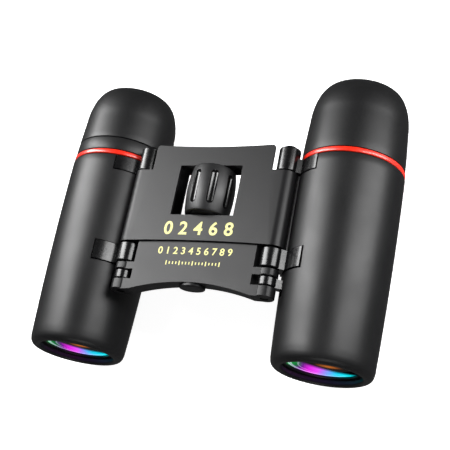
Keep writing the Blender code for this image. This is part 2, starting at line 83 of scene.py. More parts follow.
def newest(name):
    piece = bpy.context.object
    piece.name = name
    piece.data.name = name
    bpy.ops.object.transform_apply(location=True, rotation=True, scale=True)
    return piece


def pick(piece, test, kind="faces"):
    mesh = bmesh.from_edit_mesh(piece.data)
    for group in (mesh.faces, mesh.edges, mesh.verts):
        for item in group:
            item.select_set(False)
    for item in getattr(mesh, kind):
        if test(item):
            item.select_set(True)
    bmesh.update_edit_mesh(piece.data)


def useModifier(piece, kind, **settings):
    makeActive(piece)
    modifier = piece.modifiers.new(kind.title(), kind)
    for name, value in settings.items():
        setattr(modifier, name, value)
    bpy.ops.object.modifier_apply(modifier=modifier.name)


def combine(piece, other, operation):
    useModifier(piece, "BOOLEAN", object=other, operation=operation, solver="EXACT")
    bpy.data.objects.remove(other)


def carve(piece, cutter):
    combine(piece, cutter, "DIFFERENCE")


def weldOn(piece, extra):
    combine(piece, extra, "UNION")


def soften(piece, width, segments=3, angle=35):
    useModifier(
        piece,
        "BEVEL",
        width=width * mm,
        segments=segments,
        limit_method="ANGLE",
        angle_limit=math.radians(angle),
        use_clamp_overlap=True,
        miter_outer="MITER_ARC",
    )


def smooth(piece, angle=40):
    makeActive(piece)
    bpy.ops.object.shade_smooth_by_angle(angle=math.radians(angle))


def levelAt(piece, height):
    # points that rounding has moved off one flat height go back to it
    for vertex in piece.data.vertices:
        if abs(vertex.co.z - height) < 0.005 * mm:
            vertex.co.z = height


def joinFlats(piece):
    # the seams that a join leaves across a flat face go
    makeActive(piece)
    bpy.ops.object.mode_set(mode="EDIT")
    bpy.ops.mesh.select_all(action="SELECT")
    bpy.ops.mesh.dissolve_limited(angle_limit=math.radians(0.5))
    bpy.ops.object.mode_set(mode="OBJECT")


def flatten(piece):
    # big flat faces keep their own normals, and only the narrow bevels bend the light
    useModifier(piece, "WEIGHTED_NORMAL", mode="FACE_AREA", weight=100, keep_sharp=True)


def arcPoints(y, r, radiusY, radiusR, start, end, steps):
    # points of an elliptic arc in a turned outline, as (y, r) in millimetres
    points = []
    for i in range(steps + 1):
        a = math.radians(start + (end - start) * i / steps)
        points.append((y + radiusY * math.cos(a), r + radiusR * math.sin(a)))
    return points


def turn(name, axis, outline, sides=96):
    # a ring drawn out and resized along the outline; an outline that starts and ends on the axis is closed there
    tiny = 0.02
    outline = [(y, max(r, tiny)) for y, r in outline]
    deselectAll()
    firstY, firstR = outline[0]
    bpy.ops.mesh.primitive_circle_add(
        vertices=sides,
        radius=firstR * mm,
        location=(axis.x, firstY * mm, axis.z),
        rotation=(halfTurn / 2, 0, 0),
    )
    piece = newest(name)
    bpy.ops.object.mode_set(mode="EDIT")
    bpy.ops.mesh.select_all(action="SELECT")
    for (y0, r0), (y1, r1) in zip(outline, outline[1:]):
        bpy.ops.mesh.extrude_edges_move(TRANSFORM_OT_translate={"value": (0, (y1 - y0) * mm, 0)})
        ratio = r1 / r0
        bpy.ops.transform.resize(value=(ratio, 1, ratio), center_override=(axis.x, y1 * mm, axis.z))
    bpy.ops.mesh.select_all(action="DESELECT")
    if outline[0][1] > tiny:
        bpy.ops.mesh.select_non_manifold()
        bpy.ops.mesh.bridge_edge_loops()
    else:
        for endY in (outline[0][0], outline[-1][0]):
            centre = Vector((axis.x, endY * mm, axis.z))
            pick(piece, lambda v: (v.co - centre).length < 1.5 * tiny * mm, "verts")
            bpy.ops.mesh.merge(type="CENTER")
    bpy.ops.mesh.select_all(action="SELECT")
    bpy.ops.mesh.normals_make_consistent(inside=False)
    bpy.ops.object.mode_set(mode="OBJECT")
    return piece


def boxPiece(name, low, high):
    # a cube added at its size and place, between two corners in millimetres
    deselectAll()
    middle = [(a + b) / 2 * mm for a, b in zip(low, high)]
    size = [(b - a) * mm for a, b in zip(low, high)]
    bpy.ops.mesh.primitive_cube_add(size=1, location=middle, scale=size)
    return newest(name)


def foldDown(piece, side):
    # from the flat position to where the barrel hangs at rest
    rod = rodAt[side]
    swing = Matrix.Rotation(outward[side] * foldAngle, 4, "Y")
    makeActive(piece)
    piece.matrix_world = Matrix.Translation(rod) @ swing @ Matrix.Translation(-rod)
    bpy.ops.object.transform_apply(location=True, rotation=True, scale=True)


def settle(piece, body, material, slotName, *nodes):
    piece.data.materials.clear()
    piece.data.materials.append(material)
    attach(piece, body)
    if nodes:
        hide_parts(*nodes)


# ---- materials

def colour(hexCode):
    channels = []
    for i in (1, 3, 5):
        c = int(hexCode[i:i + 2], 16) / 255
        channels.append(c / 12.92 if c <= 0.04045 else ((c + 0.055) / 1.055) ** 2.4)
    return (*channels, 1.0)


def addNode(tree, kind, settings=None, links=None):
    # one node, its settings by socket or attribute name, and what feeds each of its sockets
    node = tree.nodes.new(kind)
    for name, value in (settings or {}).items():
        if name in node.inputs:
            node.inputs[name].default_value = value
        else:
            setattr(node, name, value)
    for name, source in (links or {}).items():
        tree.links.new(source, node.inputs[name])
    return node


def newMaterial(name, **shaderValues):
    material = bpy.data.materials.new(name)
    material.use_nodes = True
    shader = material.node_tree.nodes["Principled BSDF"]
    for socket, value in shaderValues.items():
        shader.inputs[socket.replace("_", " ")].default_value = value
    return material, material.node_tree, shader


def perMetre(millimetres):
    return 1 / (millimetres * mm)


def grainy(name, look):
    # a dark moulded or painted skin: fine grain in colour, roughness and height, and a slow change over the piece
    material, tree, shader = newMaterial(
        name,
        IOR=look["ior"],
        Specular_IOR_Level=look.get("specular", 0.5),
        Coat_Weight=look.get("coat", 0.0),
        Coat_Roughness=look.get("coatRoughness", 0.2),
        Metallic=look.get("metallic", 0.0),
    )
    place = addNode(tree, "ShaderNodeTexCoord").outputs["Object"]
    grain = addNode(
        tree,
        "ShaderNodeTexNoise",
        {"Scale": perMetre(look["grainSize"]), "Detail": 3.0, "Roughness": 0.6},
        {"Vector": place},
    ).outputs["Fac"]
    slow = addNode(
        tree, "ShaderNodeTexNoise", {"Scale": perMetre(look["patchSize"]), "Detail": 2.0}, {"Vector": place}
    ).outputs["Fac"]
    tint = addNode(tree, "ShaderNodeValToRGB", links={"Fac": grain})
    tint.color_ramp.elements[0].position = 0.3
    tint.color_ramp.elements[0].color = colour(look["dark"])
    tint.color_ramp.elements[1].position = 0.72
    tint.color_ramp.elements[1].color = colour(look["light"])
    tree.links.new(tint.outputs["Color"], shader.inputs["Base Color"])
    both = addNode(tree, "ShaderNodeMath", {"operation": "MULTIPLY_ADD"}, {0: slow, 2: grain})
    both.inputs[1].default_value = 0.6
    rough = addNode(
        tree,
        "ShaderNodeMapRange",
        {"From Min": 0.5, "From Max": 1.1, "To Min": look["roughness"][0], "To Max": look["roughness"][1]},
        {"Value": both.outputs[0]},
    )
    tree.links.new(rough.outputs["Result"], shader.inputs["Roughness"])
    bump = addNode(
        tree,
        "ShaderNodeBump",
        {"Strength": look["bump"], "Distance": look["grainDepth"] * mm},
        {"Height": grain},
    )
    tree.links.new(bump.outputs["Normal"], shader.inputs["Normal"])
    return material


# TPE rubber, moulded over the tube in a finely sparked tool: satin, a soft broad highlight with fine grain
rubberArmour = grainy("mouldedArmourRubber", {
    "dark": "#0b0b0c", "light": "#151516", "grainSize": 0.32, "patchSize": 9, "ior": 1.42,
    "roughness": (0.36, 0.48), "bump": 0.45, "grainDepth": 0.02,
})
# extruded aluminium, powder coated: a satin charcoal with a very fine tooth
bridgePaint = grainy("powderCoatedBridge", {
    "dark": "#101011", "light": "#19191a", "grainSize": 0.22, "patchSize": 14, "ior": 1.5, "specular": 0.25,
    "roughness": (0.34, 0.44), "bump": 0.25, "grainDepth": 0.012,
})
# ABS from a polished tool: deep black with sharp edges of light
glossPlastic = grainy("polishedHingePlastic", {
    "dark": "#070708", "light": "#0c0c0d", "grainSize": 0.6, "patchSize": 5, "ior": 1.5, "specular": 0.3,
    "roughness": (0.2, 0.3), "bump": 0.05, "grainDepth": 0.006, "coat": 0.15, "coatRoughness": 0.1,
})
# harder rubber on the wheel, its spark grain coarser than the armour's
wheelRubber = grainy("sparkGrainedWheelRubber", {
    "dark": "#0d0d0e", "light": "#1e1e1f", "grainSize": 0.24, "patchSize": 4, "ior": 1.5,
    "roughness": (0.34, 0.5), "bump": 0.5, "grainDepth": 0.02,
})
# the floor of each wheel groove is glossier than the wheel and painted darker: painted shade in the grooves
grooveShadeAndGloss = grainy("polishedGrooveRubber", {
    "dark": "#060606", "light": "#0a0a0b", "grainSize": 0.8, "patchSize": 4, "ior": 1.5, "specular": 0.35,
    "roughness": (0.14, 0.22), "bump": 0.05, "grainDepth": 0.005, "coat": 0.1, "coatRoughness": 0.06,
})
# turned aluminium, black anodised: dark metal with a faint lathe sheen
blackAnodised = grainy("blackAnodisedAluminium", {
    "dark": "#0c0c0d", "light": "#131315", "grainSize": 0.5, "patchSize": 6, "ior": 1.5,
    "roughness": (0.3, 0.42), "bump": 0.15, "grainDepth": 0.01, "metallic": 0.6,
})
# red enamelled trim ring: saturated, semi gloss, slightly uneven
redEnamel = grainy("enamelledTrimRing", {
    "dark": "#e31e06", "light": "#f52c10", "grainSize": 0.7, "patchSize": 6, "ior": 1.5,
    "roughness": (0.28, 0.38), "bump": 0.08, "grainDepth": 0.01, "coat": 0.3, "coatRoughness": 0.15,
})
# zinc plated steel: pale metal, soft reflections
platedSteel = grainy("zincPlatedSteel", {
    "dark": "#85878a", "light": "#a4a6a9", "grainSize": 0.4, "patchSize": 3, "ior": 1.5,
    "roughness": (0.24, 0.36), "bump": 0.1, "grainDepth": 0.01, "metallic": 1.0,
})
# pad printed ink: pale yellow, flat, with slightly broken cover
paleInk = grainy("padPrintedInk", {
    "dark": "#d9d27c", "light": "#f4efa2", "grainSize": 0.3, "patchSize": 5, "ior": 1.45,
    "roughness": (0.45, 0.6), "bump": 0.1, "grainDepth": 0.01,
})


def clearGlass():
    # crown glass, polished: clear, a faint green edge, only dust breaks the gloss
    material, tree, shader = newMaterial(
        "polishedCrownGlass", IOR=1.52, Transmission_Weight=0.85, Coat_Weight=0.4, Coat_Roughness=0.03
    )
    place = addNode(tree, "ShaderNodeTexCoord").outputs["Object"]
    dust = addNode(
        tree, "ShaderNodeTexNoise", {"Scale": perMetre(0.5), "Detail": 4.0}, {"Vector": place}
    ).outputs["Fac"]
    haze = addNode(
        tree, "ShaderNodeMapRange", {"From Min": 0.5, "From Max": 0.8, "To Min": 0.02, "To Max": 0.12}, {"Value": dust}
    )
    tree.links.new(haze.outputs["Result"], shader.inputs["Roughness"])
    shader.inputs["Base Color"].default_value = colour("#dfeee6")
    return material


# the lens coating's coloured reflection, painted in: its hues, an amber patch and pale arcs are painted reflection that
# glows as emission
paintedLensReflection = {
    "turn": -25.2,                    # how the colours lie in the lens, degrees about the barrel's axis
    "hues": [(0.0, "#0a5a22"), (0.07, "#1d9a40"), (0.17, "#145c34"), (0.25, "#6a1486"), (0.36, "#d81fd6"),
             (0.47, "#e04af0"), (0.55, "#9a7cf5"), (0.63, "#58a8f5"), (0.72, "#14c4e4"), (0.9, "#0fe6ee"), (1.0, "#0c8f96")],
    "edge": (0.42, -0.62),            # where the painted glow ends upwards, at the first hue and its change to the last
    "softness": 0.34,
    # an amber painted reflection patch high in the lens
    "amberReflection": {"at": (-0.12, 0.26), "size": 0.42, "colour": "#a85a1c"},
    # pale painted reflection arcs towards the rim
    "reflectionArcs": [(0.0, 0.0), (0.6, 0.0), (0.63, 0.35), (0.66, 0.0), (0.8, 0.0), (0.83, 0.7), (0.86, 0.1), (0.9, 0.75), (0.94, 0.05), (1.0, 0.0)],
    "reflectionArcColour": "#d8cdf6",
    # how strongly the painted reflection glows, though the lens is no lamp
    "paintedGlow": 0.95,
}


def paintedReflectionGlass(name, centre, radius):
    # flint glass under many thin layers, with the coloured reflection of its coating painted in: green, magenta and
    # blue painted reflection low in the lens, and the rest painted black
    # its layers cancel nearly all of the plain mirror image
    material, tree, shader = newMaterial(name, IOR=1.3, Specular_IOR_Level=0.12, Roughness=0.08)

    def calculate(operation, first, second=0.0, third=0.0):
        node = addNode(tree, "ShaderNodeMath", {"operation": operation})
        for socket, value in zip(node.inputs, (first, second, third)):
            if isinstance(value, (int, float)):
                socket.default_value = value
            else:
                tree.links.new(value, socket)
        return node.outputs[0]

    def blend(kind, amount, under, over):
        node = addNode(tree, "ShaderNodeMix", {"data_type": "RGBA", "blend_type": kind})
        for socket, value in zip((node.inputs[0], node.inputs[6], node.inputs[7]), (amount, under, over)):
            if isinstance(value, (int, float, tuple)):
                socket.default_value = value
            else:
                tree.links.new(value, socket)
        return node.outputs[2]

    place = addNode(tree, "ShaderNodeTexCoord").outputs["Object"]
    local = addNode(tree, "ShaderNodeMapping", {"vector_type": "TEXTURE"}, {"Vector": place})
    local.inputs["Location"].default_value = centre
    local.inputs["Rotation"].default_value = (0, math.radians(paintedLensReflection["turn"]), 0)
    local.inputs["Scale"].default_value = (radius, radius, radius)
    parts = addNode(tree, "ShaderNodeSeparateXYZ", links={"Vector": local.outputs["Vector"]})
    across, up = parts.outputs["X"], parts.outputs["Z"]
    wobble = addNode(
        tree, "ShaderNodeTexNoise", {"Scale": perMetre(5), "Detail": 3.0}, {"Vector": place}
    ).outputs["Fac"]
    shift = calculate("MULTIPLY_ADD", wobble, 0.16, 0.42)
    share = calculate("MULTIPLY_ADD", across, -0.5, shift)
    hue = addNode(tree, "ShaderNodeValToRGB", links={"Fac": share})
    fillRamp(hue, [(at, colour(code)) for at, code in paintedLensReflection["hues"]])
    start, slope = paintedLensReflection["edge"]
    # mask of where the painted reflection glows, fading out upwards
    edge = calculate("MULTIPLY_ADD", share, slope, start)
    below = calculate("SUBTRACT", edge, up)
    bright = addNode(
        tree, "ShaderNodeMapRange", {"From Max": paintedLensReflection["softness"], "interpolation_type": "SMOOTHSTEP"}, {"Value": below}
    ).outputs["Result"]
    lit = blend("MIX", bright, (0, 0, 0, 1), hue.outputs["Color"])
    # an amber painted reflection patch
    amberReflection = paintedLensReflection["amberReflection"]
    fromLeft = calculate("SUBTRACT", across, amberReflection["at"][0])
    fromLow = calculate("MULTIPLY", calculate("SUBTRACT", up, amberReflection["at"][1]), 2.6)
    away = calculate("SQRT", calculate("ADD", calculate("POWER", fromLeft, 2), calculate("POWER", fromLow, 2)))
    spot = addNode(
        tree,
        "ShaderNodeMapRange",
        {"From Max": amberReflection["size"], "To Min": 1.0, "To Max": 0.0, "interpolation_type": "SMOOTHSTEP"},
        {"Value": away},
    ).outputs["Result"]
    lit = blend("ADD", spot, lit, colour(amberReflection["colour"]))
    # pale painted reflection arcs towards the rim, on the lower left
    reach = calculate("SQRT", calculate("ADD", calculate("POWER", across, 2), calculate("POWER", up, 2)))
    paintedArcRamp = addNode(tree, "ShaderNodeValToRGB", links={"Fac": reach})
    fillRamp(paintedArcRamp, [(at, (v, v, v, 1.0)) for at, v in paintedLensReflection["reflectionArcs"]])
    side = addNode(
        tree, "ShaderNodeMapRange", {"From Min": -0.3, "From Max": 0.5}, {"Value": calculate("SUBTRACT", across, up)}
    ).outputs["Result"]
    lit = blend("ADD", calculate("MULTIPLY", paintedArcRamp.outputs["Color"], calculate("MULTIPLY", side, bright)), lit, colour(paintedLensReflection["reflectionArcColour"]))
    # the painted reflection is the darkened base colour and also the emission, so the lens glows though it is no lamp
    tree.links.new(blend("MULTIPLY", 1.0, lit, (0.25, 0.25, 0.25, 1)), shader.inputs["Base Color"])
    tree.links.new(lit, shader.inputs["Emission Color"])
    shader.inputs["Emission Strength"].default_value = paintedLensReflection["paintedGlow"]
    return material


def fillRamp(node, stops):
    elements = node.color_ramp.elements
    while len(elements) > 1:
        elements.remove(elements[-1])
    elements[0].position, elements[0].color = stops[0]
    for position, value in stops[1:]:
        elements.new(position).color = value


glass = clearGlass()
print("materials ready")

# ---- the barrels

ring = {"radius": 14.98, "inner": 12.5, "round": 0.35}
armour = {"curve": 0.00044, "widestY": -8.0, "rimRound": 2.0, "mouth": 11.0, "lipRound": 0.7, "bore": 12.4,
          "shoulderY": 39.65, "seal": 1.3, "sealReach": (3.35, 5.4), "sealY": (-11.4, 11.0)}
eyecup = {"seam": 14.85, "shoulder": 14.3, "shoulderY": -31.0, "rim": 9.2, "eye": 7.6, "seatY": -36.5, "bore": 9.3}
lugs = {"knuckle": 3.1, "foot": 15.3, "inner": 11.9, "low": -14, "high": 34, "web": 2.3, "hole": 1.2, "bevel": 0.28}


def yRange(node):
    low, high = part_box(node)
    return low.y / mm, high.y / mm


def fullRadius(node):
    low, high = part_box(node)
    return (high.x - low.x) / 2 / mm


def sector(name, side, ySpan, outer, inner, low, high, steps=14):
    # a flat plate spun part of a turn about the barrel's axis, in the flat position
    sign = outward[side]
    axis = Vector((rodAt[side].x + sign * arm, 0, hingeZ))
    deselectAll()
    inward = -sign
    middleR = (outer + inner) / 2
    bpy.ops.mesh.primitive_plane_add(
        size=1,
        location=(axis.x + inward * middleR * mm, (ySpan[0] + ySpan[1]) / 2 * mm, axis.z),
        rotation=(0, 0, 0),
        scale=(1, 1, 1),
    )
    bpy.context.object.scale = ((outer - inner) * mm, (ySpan[1] - ySpan[0]) * mm, 1)
    piece = newest(name)
    startAngle = -inward * math.radians(low)
    piece.matrix_world = Matrix.Translation(axis) @ Matrix.Rotation(startAngle, 4, "Y") @ Matrix.Translation(-axis)
    makeActive(piece)
    bpy.ops.object.transform_apply(location=True, rotation=True, scale=True)
    bpy.ops.object.mode_set(mode="EDIT")
    bpy.ops.mesh.select_all(action="SELECT")
    bpy.ops.mesh.spin(
        steps=steps,
        angle=inward * math.radians(high - low),
        center=axis,
        axis=(0, 1, 0),
    )
    bpy.ops.mesh.select_all(action="SELECT")
    bpy.ops.mesh.normals_make_consistent(inside=False)
    bpy.ops.object.mode_set(mode="OBJECT")
    return piece


def makeArmour(side):
    rear, front = yRange(side + "_armour")
    widest = fullRadius(side + "_armour")
    rimY = front - armour["rimRound"]
    outline = [(rear, armour["bore"]), (rear, widest - 0.35)]
    outline += [(rear + 0.12, widest - 0.12)]
    steps = 26
    for i in range(steps + 1):
        y = rear + 0.35 + (rimY - 0.8 - rear) * i / steps
        outline.append((y, widest - armour["curve"] * (y - armour["widestY"]) ** 2))
    rimR = widest - armour["curve"] * (front - armour["widestY"]) ** 2
    outline += arcPoints(rimY, rimR - armour["rimRound"], armour["rimRound"], armour["rimRound"], 72, 0, 10)
    lipR = armour["mouth"] + armour["lipRound"]
    lipY = front - armour["lipRound"]
    outline += arcPoints(lipY, lipR, armour["lipRound"], armour["lipRound"], 0, -90, 7)
    outline += [(armour["shoulderY"], armour["mouth"]), (armour["shoulderY"], armour["bore"])]
    piece = turn(side + "ArmourSleeve", barrelAt[side], outline, 128)
    for name, span in lugSpans(side).items():
        opening = sector(
            side + name, side, (span["foot"][0] - 0.3, span["foot"][1] + 0.3), lugs["foot"] + 2, lugs["inner"] - 0.5,
            lugs["low"] - 1.2, lugs["high"] + 1.2,
        )
        foldDown(opening, side)
        carve(piece, opening)
    slot = armSlot(side, "armourSlot")
    carve(piece, slot)
    reach = sorted(rodAt[side].x / mm + outward[side] * r for r in armour["sealReach"])
    z = hingeZ / mm
    seal = boxPiece(
        "seal", (reach[0], armour["sealY"][0], z - armour["seal"]), (reach[1], armour["sealY"][1], z + armour["seal"])
    )
    foldDown(seal, side)
    weldOn(piece, seal)
    smooth(piece, 30)
    settle(piece, side + "_barrel", rubberArmour, "rubber_armour", side + "_armour")


def armSlot(side, name):
    low, high = yRange(side + "_focus_arm")
    travel = joints[side + "_objective_slide"]["range_m"][1] / mm
    sign = outward[side]
    x = sorted((rodAt[side].x / mm + sign * 1.7, rodAt[side].x / mm + sign * 9.7))
    z = hingeZ / mm
    slot = boxPiece(side + name, (x[0], low - 0.3, z - 1.7), (x[1], high + travel + 0.3, z + 1.7))
    foldDown(slot, side)
    return slot


def lugSpans(side):
    return {
        "BackLug": {"knuckle": (-19.2, -11.9), "foot": (-16.2, -11.9)},
        "FrontLug": {"knuckle": (11.5, 17.2), "foot": (11.5, 17.2)},
    }


def makeBarrelTube(side):
    sign = outward[side]
    tubeLook = {"outer": 12.25, "bore": 11.55, "neck": 9.0, "neckBore": 8.2, "step": -18.25, "front": 39.5, "rear": -36.2}
    outline = [
        (tubeLook["front"], tubeLook["bore"]),
        (tubeLook["front"], tubeLook["outer"]),
        (tubeLook["step"], tubeLook["outer"]),
        (tubeLook["step"], tubeLook["neck"]),
        (tubeLook["rear"], tubeLook["neck"]),
        (tubeLook["rear"], tubeLook["neckBore"]),
        (tubeLook["step"] + 1.2, tubeLook["neckBore"]),
        (tubeLook["step"] + 1.2, tubeLook["bore"]),
    ]
    tube = turn(side + "BarrelTube", barrelAt[side], outline, 96)
    carve(tube, armSlot(side, "tubeSlot"))
    smooth(tube, 40)
    settle(tube, side + "_barrel", blackAnodised, "gloss_black", side + "_barrel_tube")
    for name, span in lugSpans(side).items():
        foot = sector(side + name, side, span["foot"], lugs["foot"], lugs["inner"] + 0.5, lugs["low"], lugs["high"], 20)
        rodX = rodAt[side].x / mm
        z = hingeZ / mm
        x = sorted((rodX + sign * 1.4, rodX + sign * 6.2))
        web = boxPiece(
            side + name + "Web",
            (x[0], span["foot"][0] + 0.05, z - lugs["web"]),
            (x[1], span["foot"][1] - 0.05, z + lugs["web"]),
        )
        weldOn(foot, web)
        back, front = span["knuckle"]
        lip = 0.35
        r = lugs["knuckle"]
        knuckleLine = [(back, 0.0), (back, r - lip), (back + 0.1, r - 0.1), (back + lip, r)]
        knuckleLine += [(front - lip, r), (front - 0.1, r - 0.1), (front, r - lip), (front, 0.0)]
        weldOn(foot, turn(side + name + "Knuckle", Vector((rodAt[side].x, 0, hingeZ)), knuckleLine, 48))
        drill = turn("drill", Vector((rodAt[side].x, 0, hingeZ)), [(back - 1, 0), (back - 1, lugs["hole"]), (front + 1, lugs["hole"]), (front + 1, 0)], 32)
        carve(foot, drill)
        foldDown(foot, side)
        soften(foot, lugs["bevel"], 3, 32)
        smooth(foot, 35)
        flatten(foot)
        settle(foot, side + "_barrel", glossPlastic, "gloss_black")
        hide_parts(side + "_barrel_tube")


def makeRing(side):
    back, front = yRange(side + "_red_ring")
    r = ring["radius"]
    soft = ring["round"]
    outline = [(back, ring["inner"])]
    outline += arcPoints(back + soft, r - soft, soft, soft, 180, 90, 4)
    outline += arcPoints(front - soft, r - soft, soft, soft, 90, 0, 4)
    outline += [(front, ring["inner"])]
    piece = turn(side + "RedRing", barrelAt[side], outline, 128)
    smooth(piece)
    settle(piece, side + "_barrel", redEnamel, "red_trim", side + "_red_ring")


def eyecupTaper(y):
    ringY = sum(yRange("left_red_ring")) / 2
    drop = (eyecup["seam"] - eyecup["shoulder"]) / (ringY - eyecup["shoulderY"]) ** 1.5
    return eyecup["seam"] - drop * max(0, ringY - y) ** 1.5


def makeEyecup(side):
    end, start = yRange(side + "_eyecup")
    outline = [(start, eyecup["bore"]), (start, eyecupTaper(start) - 0.3), (start - 0.12, eyecupTaper(start) - 0.08)]
    steps = 10
    for i in range(1, steps):
        y = start - 0.3 + (eyecup["shoulderY"] - start + 0.3) * i / steps
        outline.append((y, eyecupTaper(y)))
    reachY = eyecup["shoulderY"] - end
    reachR = eyecup["shoulder"] - eyecup["rim"]
    outline += arcPoints(eyecup["shoulderY"], eyecup["rim"], reachY, reachR, 90, 180, 18)
    outline += arcPoints(end + 1.2, eyecup["rim"] - 0.4, 1.2, 1.2, 190, 270, 6)
    outline += [(-39.6, eyecup["eye"] + 0.1), (-38.6, eyecup["eye"]), (eyecup["seatY"], eyecup["eye"])]
    outline += [(eyecup["seatY"], eyecup["bore"])]
    piece = turn(side + "RubberEyecup", barrelAt[side], outline, 128)
    smooth(piece, 50)
    body = "right_eyecup_body" if side == "right" else "left_barrel"
    settle(piece, body, rubberArmour, "rubber_armour", side + "_eyecup")


def makeCollar():
    end, start = yRange("right_diopter_collar")
    outline = [(start, 9.3), (start, eyecupTaper(start) - 0.3), (start - 0.12, eyecupTaper(start) - 0.08)]
    outline += [(start - 0.4, eyecupTaper(start - 0.4)), (end + 0.4, eyecupTaper(end + 0.4))]
    outline += [(end + 0.12, eyecupTaper(end) - 0.08), (end, eyecupTaper(end) - 0.3), (end, 9.3)]
    piece = turn("rightDiopterCollar", barrelAt["right"], outline, 128)
    smooth(piece)
    settle(piece, "right_barrel", rubberArmour, "rubber_armour", "right_diopter_collar")


def lensOutline(node, bowFront, bowBack, bevel=0.25):
    back, front = yRange(node)
    r = fullRadius(node)
    edgeFront = front - bowFront
    edgeBack = back + bowBack
    steps = 10
    outline = [(front - bowFront * (i / steps) ** 2, r * i / steps) for i in range(steps)]
    outline += [(edgeFront + 0.02, r - bevel), (edgeFront - bevel, r), (edgeBack + bevel, r), (edgeBack, r - bevel)]
    outline += [(back + bowBack * (i / steps) ** 2, r * i / steps) for i in reversed(range(steps))]
    return outline


def makeObjective(side):
    body = side + "_objective"
    axis = barrelAt[side]
    lens = turn(side + "ObjectiveLens", axis, lensOutline(side + "_objective_lens", 0.7, 0.3), 96)
    smooth(lens, 30)
    centre = axisOf(side + "_objective_lens")
    radius = fullRadius(side + "_objective_lens") * mm
    # each objective lens takes the painted reflection material, which glows by emission
    settle(lens, body, paintedReflectionGlass(side + "MultiCoatedFlint", centre, radius), "coated_glass", side + "_objective_lens")
    back, front = yRange(side + "_objective_retainer")
    outer = fullRadius(side + "_objective_retainer")
    inner = outer - 0.4
    outline = [(back, inner + 0.05), (back, outer), (front - 0.1, outer), (front, outer - 0.1)]
    outline += [(front, inner + 0.2), (front - 0.2, inner)]
    retainer = turn(side + "LensRetainer", axis, outline, 96)
    smooth(retainer)
    settle(retainer, body, blackAnodised, "black_metal", side + "_objective_retainer")
    back, front = yRange(side + "_objective_cell")
    outer = fullRadius(side + "_objective_cell")
    nose, pocket, bore = outer - 0.6, outer - 0.95, 9.6
    stepY, seatY = front - 2.9, front - 4.3
    outline = [(back, bore), (back, outer), (stepY, outer), (stepY, nose), (front - 0.15, nose), (front, nose - 0.15)]
    outline += [(front, pocket), (seatY, pocket), (seatY, bore)]
    cell = turn(side + "ObjectiveCell", axis, outline, 96)
    smooth(cell)
    settle(cell, body, blackAnodised, "black_metal", side + "_objective_cell")
    makeFocusArm(side, body)


def makeFocusArm(side, body):
    back, front = yRange(side + "_focus_arm")
    sign = outward[side]
    rod = Vector((rodAt[side].x, 0, hingeZ))
    r, hole, soft = 2.6, 1.2, 0.25
    outline = [(back, hole), (back, r - soft), (back + soft, r), (front - soft, r), (front, r - soft), (front, hole)]
    piece = turn(side + "FocusArm", rod, outline, 48)
    x = sorted((rod.x / mm + sign * 1.6, rod.x / mm + sign * 8.3))
    z = hingeZ / mm
    web = boxPiece("web", (x[0], back + 0.05, z - 1.3), (x[1], front - 0.05, z + 1.3))
    weldOn(piece, web)
    foldDown(piece, side)
    smooth(piece, 35)
    settle(piece, body, glossPlastic, "gloss_black", side + "_focus_arm")


def makeEyepiece(side):
    body = "right_eyepiece" if side == "right" else "left_barrel"
    axis = barrelAt[side]
    back, front = yRange(side + "_eyepiece_cell")
    outline = [(back, 6.4), (back, 7.3), (back + 0.1, 7.4), (-35.4, 7.4), (-35.4, 8.0), (front, 8.0), (front, 7.0)]
    outline += [(-36.9, 7.0), (-36.9, 6.5), (back + 0.8, 6.0)]
    cell = turn(side + "EyepieceCell", axis, outline, 96)
    smooth(cell)
    settle(cell, body, blackAnodised, "black_metal", side + "_eyepiece_cell")
    eye = turn(side + "EyeLens", axis, lensOutline(side + "_eye_lens", 1.1, 0.6), 96)
    smooth(eye, 30)
    settle(eye, body, glass, "clear_glass", side + "_eye_lens")


for side in ("left", "right"):
    makeArmour(side)
    makeBarrelTube(side)
    makeRing(side)
    makeEyecup(side)
    makeObjective(side)
    makeEyepiece(side)
    print(side, "barrel ready")
makeCollar()

# ---- the bridge

cover = {"sheet": 0.7, "halfBack": 18.8, "notchY": -11.6, "backBow": 0.6, "frontBow": 0.5, "narrow": 15.8, "corner": 0.9, "sleeve": 3.2,
         "windowX": 9.8, "windowY": (-12.9, 2.8), "edge": 0.14}


def bowCutter(name, halfChord, sagitta, chordY, towards, centreZ, depth=12.0):
    # a big upright cylinder whose side bows into a plate's end; towards is the side it comes from
    radius = (halfChord ** 2 + sagitta ** 2) / (2 * sagitta)
    centreY = chordY - towards * sagitta + towards * radius
    deselectAll()
    bpy.ops.mesh.primitive_cylinder_add(
        vertices=720, radius=radius * mm, depth=depth * mm, location=(0, centreY * mm, centreZ)
    )
    return newest(name)


